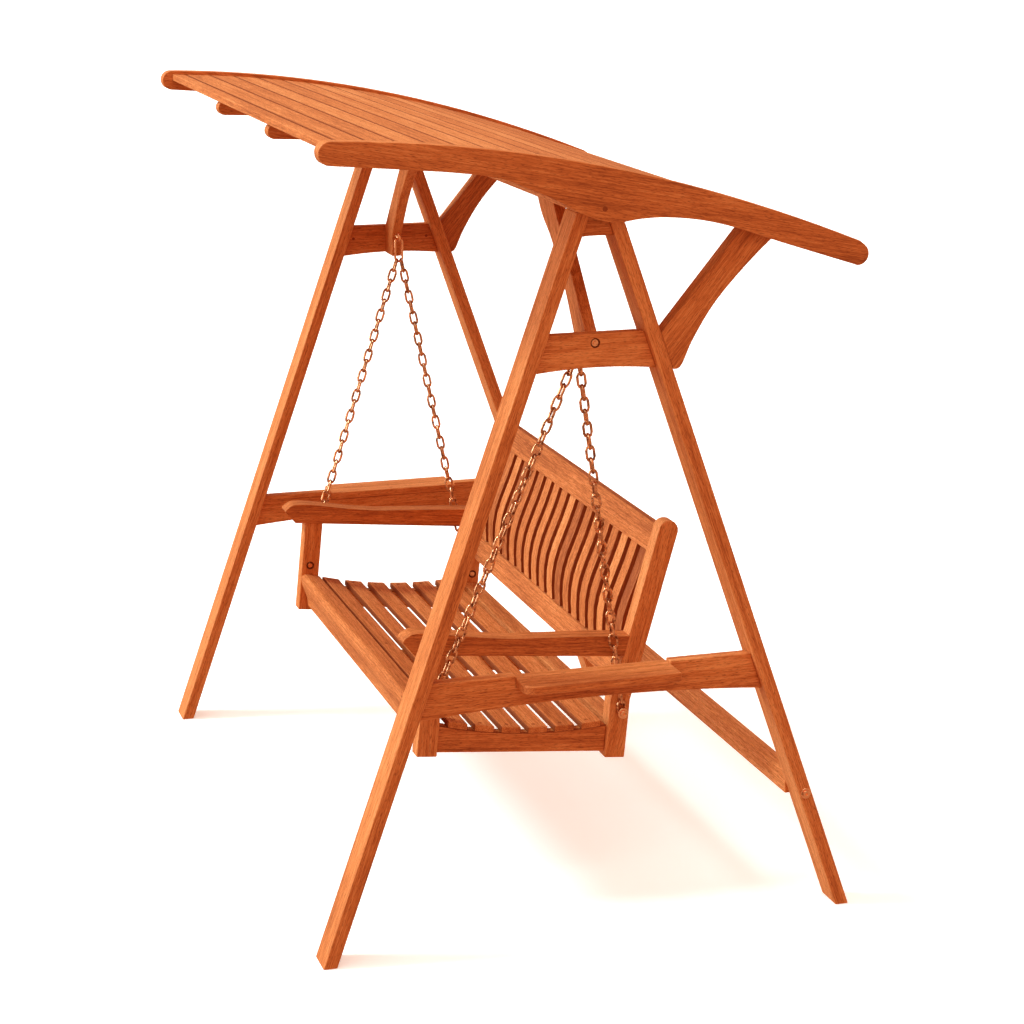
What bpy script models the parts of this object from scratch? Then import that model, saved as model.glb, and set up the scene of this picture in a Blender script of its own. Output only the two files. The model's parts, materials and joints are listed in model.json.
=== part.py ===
# A teak porch swing: two A-frames under a slatted canopy, and a bench seat hung on four chains.
# Units are metres. +X is to the right of someone who faces the seat, -Y is the front, +Z is up, and the
# origin is on the floor, midway between the four feet.
import math

import bmesh
import bpy
from mathutils import Euler, Vector

for old in list(bpy.data.objects):
    bpy.data.objects.remove(old, do_unlink=True)

# Driving dimensions -----------------------------------------------------------------------------
FIT = 0.0003                 # clearance between pieces that touch
SEAT_WIDTH = 1.40            # over the outer faces of the posts
SEAT_CLEARANCE = 0.30        # from the seat's side to the outer face of the legs
FOOT_SPREAD = 1.37           # front face of the front foot to rear face of the rear foot
LEG_TOP = 1.80               # height of the leg tops
LEG_TOP_HALF = 0.0557        # from the middle to a leg's outer edge at its top
LEG_WIDTH = 0.084            # along X
LEG_DEPTH = 0.0354           # along Y, measured level

CROSSBAR_THICKNESS = 0.033
CROSSBAR_RECESS = 0.020      # from the leg's outer face
UPPER_BAR_DROP = 0.291       # its top edge below the leg tops
UPPER_BAR_DEPTH = 0.091
UPPER_BAR_ARCH = 0.009
LOWER_BAR_TOP = 0.684
LOWER_BAR_DEPTH = 0.092
LOWER_BAR_ARCH = 0.020
SPREADER_DEPTH = 0.059
SPREADER_RECESS = 0.010
SPREADER_ARCH = 0.002

SHELF_FRONT = -0.196
SHELF_REAR = 0.200
SHELF_THICKNESS = 0.022
SHELF_DROP = 0.005           # shelf top below the crossbar's top edge
SHELF_OVERHANG = 0.080       # outward past the crossbar's outer face
SHELF_CORNER = 0.030         # radius of its front outer corner

RIDGE_DEPTH_Y = 0.110
KNEE_THICKNESS = 0.030
KNEE_FOOT_WIDTH = 0.083
KNEE_FOOT_DROP = 0.002       # the foot ends this far below the crossbar's mid arch
KNEE_REACH = 0.382           # from the crossbar's inner face in to the brace's head
KNEE_TOP_WIDTH = 0.122
KNEE_INNER_DROP = 0.019      # where its inner curve meets the straight foot, below the crossbar's top
KNEE_INNER_CURVE = ((0.157, 0.823), (0.419, 0.646), (0.753, 0.323))     # shares of its width and height
KNEE_OUTER_CURVE = ((0.392, 0.389), (0.765, 0.753))
STRUT_THICKNESS = 0.045
STRUT_FOOT_DROP = 0.093      # the strut's lower end below the upper crossbar's top
STRUT_SHOULDER_DROP = 0.004  # where its upper edge leaves the leg
STRUT_HEAD_Y = 0.385
STRUT_HEAD_WIDTH = 0.086
STRUT_CURVE = ((0.0285, 0.0), (0.0784, 0.0361), (0.1771, 0.2163), (0.3837, 0.4868), (0.7114, 0.7843))
STRETCHER_HEIGHT = 0.056
STRETCHER_DEPTH = 0.040
STRETCHER_Z = 0.310

BEAM_THICKNESS = 0.042
BEAM_NOSE_Y = -0.649         # centre of the round front end
BEAM_NOSE_RADIUS = 0.0277
BEAM_TAIL_REACH = 0.0035     # its round rear end past the last slat
BEAM_TAIL_TAPER = 0.006
CANOPY_RISE = 0.111          # beam's top edge over the leg tops, at the middle of the frame
CANOPY_PITCH = 0.215         # fall towards the rear at the middle
CANOPY_RADIUS = 3.4          # of the long arc along the top edge
BEAM_BELLY = ((-0.300, 0.101), (-0.174, 0.061), (-0.105, 0.030), (-0.055, 0.002), (0.020, -0.021),
              (0.090, -0.015), (0.154, -0.014), (0.241, -0.024), (0.329, -0.046), (0.450, -0.087))
DECK_FRONT = -0.648
DECK_DROP = 0.010            # slat tops below the beam's top edge
SLAT_THICKNESS = 0.018
SLAT_COUNT = 18
FIRST_SLAT_WIDTH = 0.038
ROOF_SLAT_WIDTH = 0.0710
ROOF_SLAT_GAP = 0.0025
DECK_TONGUE = 0.004          # thickness of the tongues that lock the slats edge to edge
RIB_X = 0.323
RIB_THICKNESS = 0.040
RIB_DEPTH = 0.038
RIB_FRONT = -0.625
RIB_REAR_INSET = 0.0295      # from the last slat's rear edge

SEAT_TILT = math.radians(5.5)
SEAT_HEIGHT = 0.450          # top of the side rails at their ends
POST_WIDTH = 0.045           # along X
FRONT_POST_FRONT = -0.265
FRONT_POST_DEPTH = 0.053
FRONT_POST_DROP = 0.080      # foot of the front post below the seat height
REAR_POST_FRONT = 0.237
REAR_POST_DEPTH = 0.054
REAR_POST_DROP = 0.086
KINK_RISE = 0.070            # the rear post leans back from here up
REAR_POST_RISE = 0.542
BACK_LEAN = 0.1875
SIDE_RAIL_HEIGHT = 0.072
SIDE_RAIL_DISH = 0.020
SIDE_RAIL_THICKNESS = 0.030
SIDE_RAIL_RECESS = 0.010
SEAT_SLAT_COUNT = 6
SEAT_SLAT_FRONT = -0.190
SEAT_SLAT_WIDTH = 0.0525
SEAT_SLAT_THICKNESS = 0.0165
SEAT_SLAT_INSET = 0.002      # slat ends in from the post's outer face
BEARER_WIDTH = 0.040
RAIL_FOOT_RISE = 0.010       # front rail, rear rail and bearer above the side rails' lower edge
FRONT_RAIL_NOSE = ((0.020, 0.030), (0.007, 0.028), (0.001, 0.018), (0.007, -0.008), (0.022, -0.040),
                   (0.027, -0.065))      # behind the post's front face, above the seat height
FRONT_RAIL_LIP = 0.0245      # its rear top edge above the seat height
FRONT_RAIL_CREST = (0.008, 0.001)        # its highest line: ahead of that edge, above it
REAR_RAIL_THICKNESS = 0.053
REAR_RAIL_RISE = 0.011
BACK_RAIL_THICKNESS = 0.028
TOP_RAIL_RISE = 0.449
TOP_RAIL_HEIGHT = 0.073
TOP_RAIL_SETBACK = 0.007
LOW_RAIL_RISE = 0.094
LOW_RAIL_HEIGHT = 0.065
LOW_RAIL_SETBACK = 0.020
BACK_SLAT_COUNT = 18
BACK_SLAT_WIDTH = 0.045
BACK_SLAT_THICKNESS = 0.0145
BACK_SLAT_BULGE = 0.018
BACK_SLAT_SKEW = 0.6         # how much of the bulge sits low down
TONGUE_DEPTH = 0.014
ARM_WIDTH = 0.056
ARM_OVERHANG = 0.008
ARM_RISE = 0.187
ARM_HEIGHT = 0.053
ARM_REACH = 0.063            # its nose ahead of the front post
ARM_WAVE = ((0.868, -0.001), (0.600, -0.0063), (0.466, -0.009), (0.315, -0.0054), (0.206, 0.0),
            (0.111, 0.004))              # share of its length from the nose, height over its rear end
ARM_NOSE_CURVE = ((0.026, 0.055), (0.006, 0.043), (0.0, 0.034), (0.004, 0.028), (0.032, 0.0))

EYE_DROP = 0.023             # the eye bolt below the upper crossbar's top
EYE_RADIUS = 0.0115          # of the ring's centre line
EYE_WIRE = 0.0035
EYE_COLLAR = 0.010           # from the brace's face to the ring
EYE_NUT_RADIUS = 0.0085
EYE_NUT_HEIGHT = 0.0055
EYE_RECESS_RADIUS = 0.012    # the hole the nut is sunk in
EYE_RECESS_DEPTH = 0.009
BOLT_RADIUS = 0.005
BOLT_SLACK = 0.0005          # the eye bolt's shank is this much thinner
STRETCHER_BOLT_LENGTH = 0.040            # into the stretcher, from the leg's inner face
STRETCHER_WASHER = 0.014
STRETCHER_BOLT_HEAD = 0.008
HEAD_TAPER = 0.0015          # a bolt head narrows outwards
BOLT_END_GAP = 0.001         # from a bolt's end to the bottom of its hole
SHACKLE_WIRE = 0.0035
SHACKLE_RADIUS = 0.011
SHACKLE_DROP = 0.074         # its foot below the eye bolt
CHAIN_SPREAD = 0.009         # half the distance between the two chains' upper ends
LINK_COUNT = 30
LINK_WIDTH = 0.0265
LINK_WIRE = 0.0072
CHAIN_END_ROOM = 0.0012      # a slanting chain end clears the shackle's wire
SEAT_BOLT_RADIUS = 0.004
SEAT_BOLT_NUT = 0.0075
SEAT_BOLT_WASHER = 0.014
SEAT_BOLT_HEAD = 0.008
SEAT_BOLT_HEAD_HEIGHT = 0.004
WASHER_THICKNESS = 0.0025
NUT_SETBACK = 0.001          # a sunk nut below the face of the wood
SEAT_BOLT_SPACE = 0.014      # room for the last chain link on the bolt
CHAIN_STANDOFF = 0.0055      # from the post to the middle of the last link
FRONT_BOLT_SETBACK = 0.025
FRONT_BOLT_RISE = 0.057
REAR_BOLT_SETBACK = 0.033
REAR_BOLT_RISE = 0.037
COUNTERBORE_RADIUS = 0.012
COUNTERBORE_DEPTH = 0.009
PLUG_RADIUS = 0.006
PLUG_DEPTH = 0.012
PLUG_RISE = 0.012            # over the leg tops
RUN_OUT = 0.010              # how far a cutter runs past the wood

# Places that follow from them -------------------------------------------------------------------
FRAME_WIDTH = SEAT_WIDTH + 2 * SEAT_CLEARANCE
HALF_SPREAD = FOOT_SPREAD / 2
LEG_SLOPE = (HALF_SPREAD - LEG_TOP_HALF) / LEG_TOP
LEG_OUTER = FRAME_WIDTH / 2
LEG_INNER = LEG_OUTER - LEG_WIDTH
BAR_OUTER = LEG_OUTER - CROSSBAR_RECESS
BAR_INNER = BAR_OUTER - CROSSBAR_THICKNESS
UPPER_BAR_TOP = LEG_TOP - UPPER_BAR_DROP
STRUT_FOOT = UPPER_BAR_TOP - STRUT_FOOT_DROP
STRUT_SHOULDER = UPPER_BAR_TOP - STRUT_SHOULDER_DROP
KNEE_INNER = BAR_INNER - FIT - KNEE_FOOT_WIDTH
KNEE_TOP_INNER = BAR_INNER - KNEE_REACH
CANOPY_CREST = LEG_TOP + CANOPY_RISE
PLUG_Z = LEG_TOP + PLUG_RISE
DECK_REAR = DECK_FRONT + FIRST_SLAT_WIDTH + (SLAT_COUNT - 1) * (ROOF_SLAT_GAP + ROOF_SLAT_WIDTH)
BEAM_TAIL_Y = DECK_REAR + BEAM_TAIL_REACH
RIB_REAR = DECK_REAR - RIB_REAR_INSET
EYE_Z = UPPER_BAR_TOP - EYE_DROP
PIVOT_Z = EYE_Z - EYE_RADIUS
SHACKLE_FOOT = EYE_Z - SHACKLE_DROP
EYE_X = KNEE_INNER - EYE_COLLAR - EYE_RADIUS
SEAT_OUTER = SEAT_WIDTH / 2
SEAT_INNER = SEAT_OUTER - POST_WIDTH
FRONT_POST_REAR = FRONT_POST_FRONT + FRONT_POST_DEPTH
FRONT_POST_FOOT = SEAT_HEIGHT - FRONT_POST_DROP
REAR_POST_FOOT = SEAT_HEIGHT - REAR_POST_DROP
REAR_POST_KINK = SEAT_HEIGHT + KINK_RISE
REAR_POST_TOP = SEAT_HEIGHT + REAR_POST_RISE
SIDE_RAIL_FOOT = SEAT_HEIGHT - SIDE_RAIL_HEIGHT
REAR_RAIL_TOP = SEAT_HEIGHT + REAR_RAIL_RISE
TOP_RAIL_FOOT = SEAT_HEIGHT + TOP_RAIL_RISE
LOW_RAIL_FOOT = SEAT_HEIGHT + LOW_RAIL_RISE
ARM_FOOT = SEAT_HEIGHT + ARM_RISE
ARM_NOSE = FRONT_POST_FRONT - ARM_REACH
FRONT_BOLT_Y = FRONT_POST_FRONT + FRONT_BOLT_SETBACK
FRONT_BOLT_Z = SEAT_HEIGHT + FRONT_BOLT_RISE
REAR_BOLT_Y = REAR_POST_FRONT + REAR_BOLT_SETBACK
REAR_BOLT_Z = SEAT_HEIGHT + REAR_BOLT_RISE
# The seat slats are spread evenly from the first one back to the rear posts.
SEAT_SLAT_PITCH = (REAR_POST_FRONT - SEAT_SLAT_FRONT) / SEAT_SLAT_COUNT
SEAT_SLAT_GAP = SEAT_SLAT_PITCH - SEAT_SLAT_WIDTH
SIDE_NAMES = ((1, "right"), (-1, "left"))


def material(name, colour, roughness, metallic):
    made = bpy.data.materials.new(name)
    made.use_nodes = True
    shader = made.node_tree.nodes["Principled BSDF"]
    shader.inputs["Base Color"].default_value = (*colour, 1.0)
    shader.inputs["Roughness"].default_value = roughness
    shader.inputs["Metallic"].default_value = metallic
    made.diffuse_color = (*colour, 1.0)
    return made


TEAK = (0.42, 0.13, 0.030)
BRASS = (0.62, 0.28, 0.11)


def wood(name):
    return material(name + "_teak", TEAK, 0.55, 0.0)


def metal(name):
    return material(name + "_brass", BRASS, 0.35, 1.0)


def place(name, bm, look, x=0.0, parent=None, smooth=False):
    # Seat pieces are drawn at their heights above the floor and hang from the pivot, so they drop by
    # its height.
    bmesh.ops.recalc_face_normals(bm, faces=bm.faces)
    mesh = bpy.data.meshes.new(name)
    bm.to_mesh(mesh)
    bm.free()
    mesh.materials.append(look)
    if smooth:
        mesh.shade_smooth()
        mesh.set_sharp_from_angle(angle=math.radians(35))
    made = bpy.data.objects.new(name, mesh)
    bpy.context.collection.objects.link(made)
    made.location = (x, 0, 0 if parent is None else -PIVOT_Z)
    made.parent = parent
    return made


def pivot(name, tilt):
    empty = bpy.data.objects.new(name, None)
    bpy.context.collection.objects.link(empty)
    empty.location = (0, 0, PIVOT_Z)
    empty.rotation_euler = (-tilt, 0, 0)
    return empty


def prism(bm, outline, start, end, axis=0):
    # A closed outline in the plane across the axis, pushed along it from start to end.
    def at(point, along):
        placed = list(point)
        placed.insert(axis, along)
        return placed
    face = bm.faces.new([bm.verts.new(at(point, start)) for point in outline])
    pushed = bmesh.ops.extrude_face_region(bm, geom=[face])["geom"]
    step = [0.0, 0.0, 0.0]
    step[axis] = end - start
    bmesh.ops.translate(bm, verts=[v for v in pushed if isinstance(v, bmesh.types.BMVert)], vec=step)


def board(name, outline, x, thickness, parent=None):
    # A board standing in the Y-Z plane, with its thickness along X.
    bm = bmesh.new()
    prism(bm, outline, -thickness / 2, thickness / 2)
    return place(name, bm, wood(name), x, parent)


def arc(start, middle, end, steps):
    # Points along the circle through three points, both ends included.
    a, b, c = Vector(start), Vector(middle), Vector(end)
    d = 2 * (a.x * (b.y - c.y) + b.x * (c.y - a.y) + c.x * (a.y - b.y))
    far_a, far_b, far_c = a.length_squared, b.length_squared, c.length_squared
    ux = (far_a * (b.y - c.y) + far_b * (c.y - a.y) + far_c * (a.y - b.y)) / d
    uy = (far_a * (c.x - b.x) + far_b * (a.x - c.x) + far_c * (b.x - a.x)) / d
    centre = Vector((ux, uy))
    first = math.atan2(a.y - uy, a.x - ux)
    turn = (math.atan2(c.y - uy, c.x - ux) - first) % math.tau
    if (math.atan2(b.y - uy, b.x - ux) - first) % math.tau > turn:
        turn -= math.tau
    radius = (a - centre).length
    angles = [first + turn * i / steps for i in range(steps + 1)]
    return [(ux + radius * math.cos(t), uy + radius * math.sin(t)) for t in angles]


def spline(points, steps):
    # A smooth curve through the points.
    padded = [points[0]] + list(points) + [points[-1]]
    curve = []
    for i in range(len(points) - 1):
        p0, p1, p2, p3 = (Vector(p) for p in padded[i:i + 4])
        for step in range(steps):
            t = step / steps
            blend = 2 * p1 + (p2 - p0) * t + (2 * p0 - 5 * p1 + 4 * p2 - p3) * t ** 2
            blend += (3 * p1 - p0 - 3 * p2 + p3) * t ** 3
            curve.append(tuple(blend / 2))
    return curve + [tuple(points[-1])]


def rod(bm, radius, x0, x1, y, z, sides=20):
    # A round bar along X.
    ring = [math.tau * i / sides for i in range(sides)]
    prism(bm, [(y + radius * math.cos(t), z + radius * math.sin(t)) for t in ring], x0, x1)


def turned(name, profile, y, z, x, parent=None):
    # A piece turned about an axis along X; the profile lists (distance along X, radius).
    bm = bmesh.new()
    sides = 20
    angles = [math.tau * i / sides for i in range(sides)]
    rings = []
    for along, radius in profile:
        rings.append([bm.verts.new((along, y + radius * math.cos(t), z + radius * math.sin(t)))
                      for t in angles])
    for low, high in zip(rings, rings[1:]):
        for i in range(sides):
            j = (i + 1) % sides
            bm.faces.new((low[i], low[j], high[j], high[i]))
    bm.faces.new(rings[0])
    bm.faces.new(rings[-1])
    return place(name, bm, metal(name), x, parent, smooth=True)


def loop_of_wire(bm, centre_line, wire, across, sides=8):
    # A closed loop of round wire along points that all lie in one plane; across is that plane's normal.
    rings = []
    count = len(centre_line)
    for i, point in enumerate(centre_line):
        ahead = Vector(centre_line[(i + 1) % count]) - Vector(centre_line[i - 1])
        outward = ahead.normalized().cross(across)
        angles = [math.tau * k / sides for k in range(sides)]
        rings.append([bm.verts.new(Vector(point) + wire * (math.cos(t) * outward + math.sin(t) * across))
                      for t in angles])
    for i in range(count):
        low, high = rings[i], rings[(i + 1) % count]
        for k in range(sides):
            n = (k + 1) % sides
            bm.faces.new((low[k], low[n], high[n], high[k]))


def cut(piece, *cutters):
    for cutter in cutters:
        tool = piece.modifiers.new(cutter.name, "BOOLEAN")
        tool.operation = "DIFFERENCE"
        tool.object = cutter


def drill(name, radius, x0, x1, y, z, parent=None):
    # A guide that cuts a round hole along X.
    bm = bmesh.new()
    rod(bm, radius, x0, x1, y, z)
    guide = place(name, bm, wood(name), 0.0, parent)
    guide.hide_render = True
    guide.display_type = "WIRE"
    return guide


def front_leg_face(z):
    return -HALF_SPREAD + LEG_SLOPE * z


def beam_top(y):
    # The canopy's long arc, tipped to fall towards the rear.
    return CANOPY_CREST - CANOPY_PITCH * y - y * y / (2 * CANOPY_RADIUS)


def slat_foot(y):
    return beam_top(y) - DECK_DROP - SLAT_THICKNESS


# The two A-frames -------------------------------------------------------------------------------
def leg_outline(front):
    low, high = front_leg_face(0), front_leg_face(LEG_TOP)
    outline = [(low, 0), (low + LEG_DEPTH, 0), (high + LEG_DEPTH, LEG_TOP), (high, LEG_TOP)]
    return outline if front else [(-y, z) for y, z in outline]


def between_legs(foot, top, arch, steps=16):
    # A board fitted between the sloping inner faces of the legs, with an arched lower edge.
    def reach(z):
        return -(front_leg_face(z) + LEG_DEPTH + FIT)
    lower = arc((-reach(foot), foot), (0, foot + arch), (reach(foot), foot), steps)
    return lower + [(reach(top), top), (-reach(top), top)]


def shelf_notch(outline_top, side):
    # The shelf is let into the crossbar's top edge.
    bm = bmesh.new()
    low = outline_top - SHELF_DROP - SHELF_THICKNESS - FIT
    high = outline_top + RUN_OUT
    front, rear = SHELF_FRONT - FIT, SHELF_REAR + FIT
    notch = [(front, low), (rear, low), (rear, high), (front, high)]
    prism(bm, notch, side * (BAR_INNER - RUN_OUT), side * (BAR_OUTER + RUN_OUT))
    guide = place("shelf_notch", bm, wood("shelf_notch"))
    guide.hide_render = True
    guide.display_type = "WIRE"
    return guide


def side_shelf(name, side):
    # A shelf board lying level: square at the rear, its front outer corner rounded.
    inner, outer = BAR_INNER, BAR_OUTER + SHELF_OVERHANG
    corner = (outer - SHELF_CORNER, SHELF_FRONT)
    turn = [(corner[0] + SHELF_CORNER * math.sin(t), SHELF_FRONT + SHELF_CORNER * (1 - math.cos(t)))
            for t in [math.pi / 2 * i / 6 for i in range(7)]]
    outline = [(inner, SHELF_REAR), (inner, SHELF_FRONT)] + turn + [(outer, SHELF_REAR)]
    top = LOWER_BAR_TOP - SHELF_DROP
    bm = bmesh.new()
    prism(bm, [(side * x, y) for x, y in outline], top - SHELF_THICKNESS, top, axis=2)
    return place(name, bm, wood(name))


def knee_brace(name, side):
    # A curved brace across the frame, from the crossbar's inner face in and up to the ridge beam.
    foot = UPPER_BAR_TOP - UPPER_BAR_DEPTH + UPPER_BAR_ARCH - KNEE_FOOT_DROP
    head = LEG_TOP - FIT
    outer = BAR_INNER - FIT
    meet = UPPER_BAR_TOP - KNEE_INNER_DROP
    top_outer = KNEE_TOP_INNER + KNEE_TOP_WIDTH
    inner_curve = [(KNEE_TOP_INNER + (KNEE_INNER - KNEE_TOP_INNER) * across, meet + (head - meet) * up)
                   for across, up in KNEE_INNER_CURVE]
    outer_curve = [(outer + (top_outer - outer) * across, UPPER_BAR_TOP + (head - UPPER_BAR_TOP) * up)
                   for across, up in KNEE_OUTER_CURVE]
    inside = spline([(KNEE_TOP_INNER, head)] + inner_curve + [(KNEE_INNER, meet)], 4) + [(KNEE_INNER, foot)]
    outside = [(outer, foot)] + spline([(outer, UPPER_BAR_TOP)] + outer_curve + [(top_outer, head)], 4)
    bm = bmesh.new()
    outline = [(side * x, z) for x, z in inside + outside]
    prism(bm, outline, -KNEE_THICKNESS / 2, KNEE_THICKNESS / 2, axis=1)
    return place(name, bm, wood(name))


def rear_strut_outline():
    # From the back of the rear leg up and out to the canopy, hollow along its lower edge.
    def leg_back(z):
        return -front_leg_face(z) + FIT
    head_rear = STRUT_HEAD_Y + STRUT_HEAD_WIDTH
    low, high = Vector((leg_back(STRUT_FOOT), STRUT_FOOT)), Vector((head_rear, slat_foot(head_rear) - FIT))
    curve = [(low.x + (high.x - low.x) * back, low.y + (high.y - low.y) * up) for back, up in STRUT_CURVE]
    lower = spline(curve + [tuple(high)], 4)
    crown = (STRUT_HEAD_Y, slat_foot(STRUT_HEAD_Y) - FIT)
    return [tuple(low)] + lower + [crown, (leg_back(STRUT_SHOULDER), STRUT_SHOULDER)]


def a_frame(side, word):
    leg_x = side * (LEG_OUTER - LEG_WIDTH / 2)
    board("front_leg_" + word, leg_outline(True), leg_x, LEG_WIDTH)
    rear_leg = board("rear_leg_" + word, leg_outline(False), leg_x, LEG_WIDTH)
    stretcher_y = -front_leg_face(STRETCHER_Z) - LEG_DEPTH / 2
    cut(rear_leg, drill("stretcher_bolt_hole_" + word, BOLT_RADIUS + FIT, side * (LEG_INNER - RUN_OUT),
                        side * (LEG_OUTER + RUN_OUT), stretcher_y, STRETCHER_Z))

    bar_x = side * (BAR_OUTER + BAR_INNER) / 2
    upper = board("upper_crossbar_" + word, between_legs(UPPER_BAR_TOP - UPPER_BAR_DEPTH, UPPER_BAR_TOP,
                                                         UPPER_BAR_ARCH), bar_x, CROSSBAR_THICKNESS)
    lower = board("lower_crossbar_" + word, between_legs(LOWER_BAR_TOP - LOWER_BAR_DEPTH, LOWER_BAR_TOP,
                                                         LOWER_BAR_ARCH), bar_x, CROSSBAR_THICKNESS)
    cut(lower, shelf_notch(LOWER_BAR_TOP, side))
    spreader_width = LEG_WIDTH - 2 * SPREADER_RECESS
    board("top_spreader_" + word, between_legs(LEG_TOP - SPREADER_DEPTH, LEG_TOP - FIT, SPREADER_ARCH, 4),
          leg_x, spreader_width)
    side_shelf("side_shelf_" + word, side)
    brace = knee_brace("knee_brace_" + word, side)
    eye_hole = drill("eye_bolt_hole_" + word, BOLT_RADIUS + FIT, side * (KNEE_INNER - RUN_OUT),
                     side * (BAR_OUTER + RUN_OUT), 0, EYE_Z)
    eye_recess = drill("eye_bolt_recess_" + word, EYE_RECESS_RADIUS, side * (BAR_OUTER - EYE_RECESS_DEPTH),
                       side * (BAR_OUTER + RUN_OUT), 0, EYE_Z)
    cut(upper, eye_hole, eye_recess)
    cut(brace, eye_hole)
    strut_x = side * (LEG_OUTER - STRUT_THICKNESS / 2)
    board("rear_strut_" + word, rear_strut_outline(), strut_x, STRUT_THICKNESS)

    face = LEG_OUTER + FIT
    turned("stretcher_bolt_" + word, [
        (side * (LEG_INNER - STRETCHER_BOLT_LENGTH), BOLT_RADIUS), (side * face, BOLT_RADIUS),
        (side * face, STRETCHER_WASHER), (side * (face + 0.002), STRETCHER_WASHER),
        (side * (face + WASHER_THICKNESS), STRETCHER_BOLT_HEAD),
        (side * (face + WASHER_THICKNESS + SEAT_BOLT_HEAD_HEIGHT), STRETCHER_BOLT_HEAD - HEAD_TAPER)],
        stretcher_y, STRETCHER_Z, 0.0)


def rear_stretcher():
    # A rail between the rear legs, bolted through them.
    centre = -front_leg_face(STRETCHER_Z) - LEG_DEPTH / 2
    reach = LEG_INNER - FIT
    low, high = STRETCHER_Z - STRETCHER_HEIGHT / 2, STRETCHER_Z + STRETCHER_HEIGHT / 2
    front, rear = centre - STRETCHER_DEPTH / 2, centre + STRETCHER_DEPTH / 2
    rail = board("rear_stretcher", [(front, low), (rear, low), (rear, high), (front, high)], 0, 2 * reach)
    for side, word in SIDE_NAMES:
        cut(rail, drill("stretcher_end_hole_" + word, BOLT_RADIUS + FIT, side * (reach + RUN_OUT),
                        side * (LEG_INNER - STRETCHER_BOLT_LENGTH - BOLT_END_GAP), centre, STRETCHER_Z))


def ridge_beam():
    # Lies on the leg tops and carries the ribs; its top follows the underside of the ribs.
    half = RIDGE_DEPTH_Y / 2
    foot = LEG_TOP + FIT
    outline = [(-half, foot), (half, foot), (half, slat_foot(half) - RIB_DEPTH - 2 * FIT),
               (-half, slat_foot(-half) - RIB_DEPTH - 2 * FIT)]
    board("ridge_beam", outline, 0, FRAME_WIDTH - 2 * FIT)


# The canopy -------------------------------------------------------------------------------------
def long_arc(start, end, steps, height):
    return [(start + (end - start) * i / steps, height(start + (end - start) * i / steps))
            for i in range(steps + 1)]


def side_beam_outline():
    nose_z = beam_top(BEAM_NOSE_Y) - BEAM_NOSE_RADIUS
    tail_z = beam_top(BEAM_TAIL_Y) - BEAM_NOSE_RADIUS - BEAM_TAIL_TAPER
    nose = [(BEAM_NOSE_Y - BEAM_NOSE_RADIUS * math.sin(t), nose_z + BEAM_NOSE_RADIUS * math.cos(t))
            for t in [math.pi * i / 10 for i in range(1, 10)]]
    belly = [(y, LEG_TOP + rise) for y, rise in BEAM_BELLY]
    lower = spline([(BEAM_NOSE_Y, nose_z - BEAM_NOSE_RADIUS)] + belly
                   + [(BEAM_TAIL_Y, tail_z - BEAM_NOSE_RADIUS)], 4)
    tail = [(BEAM_TAIL_Y + BEAM_NOSE_RADIUS * math.sin(t), tail_z - BEAM_NOSE_RADIUS * math.cos(t))
            for t in [math.pi * i / 10 for i in range(1, 9)]]
    top = long_arc(BEAM_TAIL_Y + 0.004, BEAM_NOSE_Y, 24, beam_top)
    return lower + tail + top + nose


def canopy():
    beam_x = LEG_OUTER + FIT + BEAM_THICKNESS / 2
    plug_x = LEG_OUTER + FIT + BEAM_THICKNESS
    for side, word in SIDE_NAMES:
        beam = board("canopy_beam_" + word, side_beam_outline(), side * beam_x, BEAM_THICKNESS)
        cut(beam, drill("plug_hole_" + word, PLUG_RADIUS + FIT, side * (plug_x - PLUG_DEPTH - FIT),
                        side * (plug_x + RUN_OUT), 0, PLUG_Z))
        bm = bmesh.new()
        rod(bm, PLUG_RADIUS, side * (plug_x - PLUG_DEPTH), side * plug_x, 0, PLUG_Z)
        place("canopy_plug_" + word, bm, wood("canopy_plug_" + word), smooth=True)

        def rib_top(y):
            return slat_foot(y) - FIT
        crown = long_arc(RIB_REAR, RIB_FRONT, 24, rib_top)
        underside = long_arc(RIB_FRONT, RIB_REAR, 24, lambda y: rib_top(y) - RIB_DEPTH)
        half = RIB_DEPTH / 2
        nose = [(RIB_FRONT - half * math.sin(t), rib_top(RIB_FRONT) - half + half * math.cos(t))
                for t in [math.pi * i / 8 for i in range(1, 8)]]
        board("canopy_rib_" + word, underside + crown + nose, side * RIB_X, RIB_THICKNESS)


def canopy_deck():
    # The roof slats, locked edge to edge by thin tongues along their undersides.
    edges = [DECK_FRONT, DECK_FRONT + FIRST_SLAT_WIDTH]
    for _ in range(SLAT_COUNT - 1):
        edges += [edges[-1] + ROOF_SLAT_GAP, edges[-1] + ROOF_SLAT_GAP + ROOF_SLAT_WIDTH]
    top, foot = [], []
    for start, end in zip(edges[::2], edges[1::2]):
        top += [(start, slat_foot(start) + SLAT_THICKNESS), (end, slat_foot(end) + SLAT_THICKNESS)]
        foot += [(start, slat_foot(start)), (end, slat_foot(end))]
        if end != edges[-1]:
            top += [(end, slat_foot(end) + DECK_TONGUE),
                    (end + ROOF_SLAT_GAP, slat_foot(end + ROOF_SLAT_GAP) + DECK_TONGUE)]
    board("canopy_deck", foot + top[::-1], 0, FRAME_WIDTH - 2 * FIT)


# The seat ---------------------------------------------------------------------------------------
def back_line(z):
    # The front edge of a rear post: upright below the kink, leaning back above it.
    return REAR_POST_FRONT + BACK_LEAN * max(0.0, z - REAR_POST_KINK)


def rail_surface(y):
    # The dished line that the seat slats rest on, over the clear length of the side rail.
    mid = (FRONT_POST_REAR + REAR_POST_FRONT) / 2
    half = (REAR_POST_FRONT - FRONT_POST_REAR) / 2
    return SEAT_HEIGHT - SIDE_RAIL_DISH * (1 - ((y - mid) / half) ** 2)


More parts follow.
